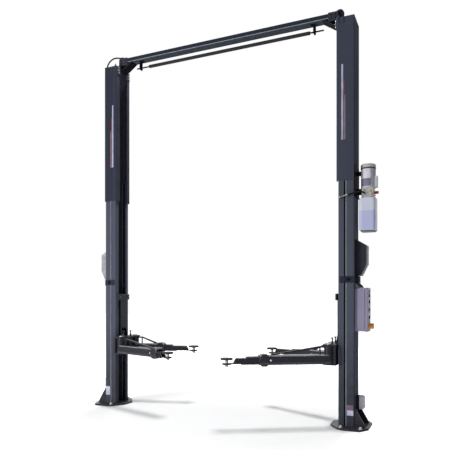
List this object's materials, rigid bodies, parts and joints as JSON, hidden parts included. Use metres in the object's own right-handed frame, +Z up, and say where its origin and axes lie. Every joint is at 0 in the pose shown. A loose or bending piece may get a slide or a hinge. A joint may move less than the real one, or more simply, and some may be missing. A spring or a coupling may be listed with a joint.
{
  "type": "two post car lift",
  "caption": "Two column vehicle lift with telescopic swing arms, column extensions, overhead beam, hydraulic power unit and control box, painted dark grey",
  "frame": {"origin": "on the floor, midway between the two columns", "axes": "+X across the bay towards the column with the power unit, +Y along the bay in the direction of driving in, +Z up"},
  "size_m": [3.484, 1.3374, 4.4029],
  "materials": {
    "column_paint": "dark grey-blue stoved paint, satin",
    "extension_paint": "darker grey-blue stoved paint, satin",
    "arm_paint": "near-black powder coat, satin",
    "bright_steel": "bare machined steel",
    "barrel_paint": "black paint, semi-gloss",
    "pad_rubber": "moulded black rubber",
    "guard_rubber": "soft black rubber",
    "slide_plastic": "low friction nylon",
    "foam": "closed cell black foam",
    "cover_dark": "black cover",
    "cover_light": "light grey cover",
    "box_paint": "lavender grey textured paint",
    "button_plastic": "moulded plastic",
    "stop_plastic": "moulded orange plastic",
    "motor_alloy": "silver painted cast alloy",
    "cowl_silver": "silver painted sheet cowl",
    "knob_red": "moulded red plastic",
    "tank_plastic": "translucent milky polyethylene",
    "hose_rubber": "black rubber hose with crimped ends"
  },
  "bodies": {
    "root": {"base_plate_left": "column_paint", "base_plate_right": "column_paint", "beam_bracket_left": "extension_paint", "beam_bracket_right": "extension_paint", "bridge_hose": "hose_rubber", "column_bands": "column_paint", "column_extension_left": "extension_paint", "column_extension_right": "extension_paint", "column_left": "column_paint", "column_right": "column_paint", "control_box": "box_paint", "control_box_lid": "box_paint", "control_cable": "hose_rubber", "crossbeam": "extension_paint", "emergency_stop": "stop_plastic", "foot_brackets": "barrel_paint", "foot_pulleys": "bright_steel", "hose_fittings": "bright_steel", "lock_cover_left": "cover_light", "lock_cover_right": "cover_dark", "motor": "motor_alloy", "motor_cowl": "cowl_silver", "oil_tank": "tank_plastic", "piston_rods": "bright_steel", "power_bracket": "barrel_paint", "pressure_hose": "hose_rubber", "pump_block": "motor_alloy", "push_buttons": "button_plastic", "relief_knob": "knob_red", "shutoff_hangers": "extension_paint", "top_pulleys": "bright_steel"},
    "shutoff_bar": {"shutoff_bar": "bright_steel", "bar_foam": "foam"},
    "carriage_left": {"carriage_left": "arm_paint", "slide_pads_left": "slide_plastic", "arm_pins_left": "bright_steel", "door_guard_left": "guard_rubber", "cylinder_barrel_left": "barrel_paint"},
    "carriage_right": {"carriage_right": "arm_paint", "slide_pads_right": "slide_plastic", "arm_pins_right": "bright_steel", "door_guard_right": "guard_rubber", "cylinder_barrel_right": "barrel_paint"},
    "arm_outer_front_right": {"arm_outer_front_right": "arm_paint"},
    "arm_middle_front_right": {"arm_middle_front_right": "arm_paint"},
    "arm_inner_front_right": {"arm_inner_front_right": "arm_paint"},
    "pad_front_right": {"pad_front_right": "pad_rubber"},
    "arm_outer_rear_right": {"arm_outer_rear_right": "arm_paint"},
    "arm_middle_rear_right": {"arm_middle_rear_right": "arm_paint"},
    "arm_inner_rear_right": {"arm_inner_rear_right": "arm_paint"},
    "pad_rear_right": {"pad_rear_right": "pad_rubber"},
    "arm_outer_front_left": {"arm_outer_front_left": "arm_paint"},
    "arm_middle_front_left": {"arm_middle_front_left": "arm_paint"},
    "arm_inner_front_left": {"arm_inner_front_left": "arm_paint"},
    "pad_front_left": {"pad_front_left": "pad_rubber"},
    "arm_outer_rear_left": {"arm_outer_rear_left": "arm_paint"},
    "arm_middle_rear_left": {"arm_middle_rear_left": "arm_paint"},
    "arm_inner_rear_left": {"arm_inner_rear_left": "arm_paint"},
    "pad_rear_left": {"pad_rear_left": "pad_rubber"}
  },
  "joints": [
    {"name": "lift_right", "type": "slide", "parent": "root", "child": "carriage_right", "axis": [0, 0, 1], "range_m": [-0.545, 1.16]},
    {"name": "lift_left", "type": "slide", "parent": "root", "child": "carriage_left", "axis": [0, 0, 1], "range_m": [-0.545, 1.16]},
    {"name": "arm_swing_front_right", "type": "hinge", "parent": "carriage_right", "child": "arm_outer_front_right", "pos_m": [1.3, -0.15, 0.755], "axis": [0, 0, 1], "range_deg": [-29.7, 60.3]},
    {"name": "middle_slide_front_right", "type": "slide", "parent": "arm_outer_front_right", "child": "arm_middle_front_right", "axis": [-0.8686, -0.4955, 0], "range_m": [-0.145, 0.04]},
    {"name": "inner_slide_front_right", "type": "slide", "parent": "arm_middle_front_right", "child": "arm_inner_front_right", "axis": [-0.8686, -0.4955, 0], "range_m": [-0.067, 0.118]},
    {"name": "pad_screw_front_right", "type": "slide", "parent": "arm_inner_front_right", "child": "pad_front_right", "axis": [0, 0, 1], "range_m": [-0.026, 0.018]},
    {"name": "arm_swing_rear_right", "type": "hinge", "parent": "carriage_right", "child": "arm_outer_rear_right", "pos_m": [1.3, 0.15, 0.755], "axis": [0, 0, -1], "range_deg": [-23.8, 66.2]},
    {"name": "middle_slide_rear_right", "type": "slide", "parent": "arm_outer_rear_right", "child": "arm_middle_rear_right", "axis": [-0.915, 0.4035, 0], "range_m": [-0.211, 0.009]},
    {"name": "inner_slide_rear_right", "type": "slide", "parent": "arm_middle_rear_right", "child": "arm_inner_rear_right", "axis": [-0.915, 0.4035, 0], "range_m": [-0.211, 0.009]},
    {"name": "pad_screw_rear_right", "type": "slide", "parent": "arm_inner_rear_right", "child": "pad_rear_right", "axis": [0, 0, 1], "range_m": [-0.026, 0.018]},
    {"name": "arm_swing_front_left", "type": "hinge", "parent": "carriage_left", "child": "arm_outer_front_left", "pos_m": [-1.3, -0.15, 0.755], "axis": [0, 0, -1], "range_deg": [-18.6, 71.4]},
    {"name": "middle_slide_front_left", "type": "slide", "parent": "arm_outer_front_left", "child": "arm_middle_front_left", "axis": [0.9478, -0.319, 0], "range_m": [-0.009, 0.176]},
    {"name": "inner_slide_front_left", "type": "slide", "parent": "arm_middle_front_left", "child": "arm_inner_front_left", "axis": [0.9478, -0.319, 0], "range_m": [-0.009, 0.176]},
    {"name": "pad_screw_front_left", "type": "slide", "parent": "arm_inner_front_left", "child": "pad_front_left", "axis": [0, 0, 1], "range_m": [-0.026, 0.018]},
    {"name": "arm_swing_rear_left", "type": "hinge", "parent": "carriage_left", "child": "arm_outer_rear_left", "pos_m": [-1.3, 0.15, 0.755], "axis": [0, 0, 1], "range_deg": [-16.6, 73.4]},
    {"name": "middle_slide_rear_left", "type": "slide", "parent": "arm_outer_rear_left", "child": "arm_middle_rear_left", "axis": [0.9583, 0.2857, 0], "range_m": [-0.11, 0.11]},
    {"name": "inner_slide_rear_left", "type": "slide", "parent": "arm_middle_rear_left", "child": "arm_inner_rear_left", "axis": [0.9583, 0.2857, 0], "range_m": [-0.144, 0.076]},
    {"name": "pad_screw_rear_left", "type": "slide", "parent": "arm_inner_rear_left", "child": "pad_rear_left", "axis": [0, 0, 1], "range_m": [-0.026, 0.018]},
    {"name": "bar_lift", "type": "hinge", "parent": "root", "child": "shutoff_bar", "pos_m": [-1.107, 0, 4.222], "axis": [0, -1, 0], "range_deg": [0, 0.4]}
  ],
  "couplings": [
    {"joint": "lift_left", "follows": "lift_right", "ratio": 1}
  ]
}
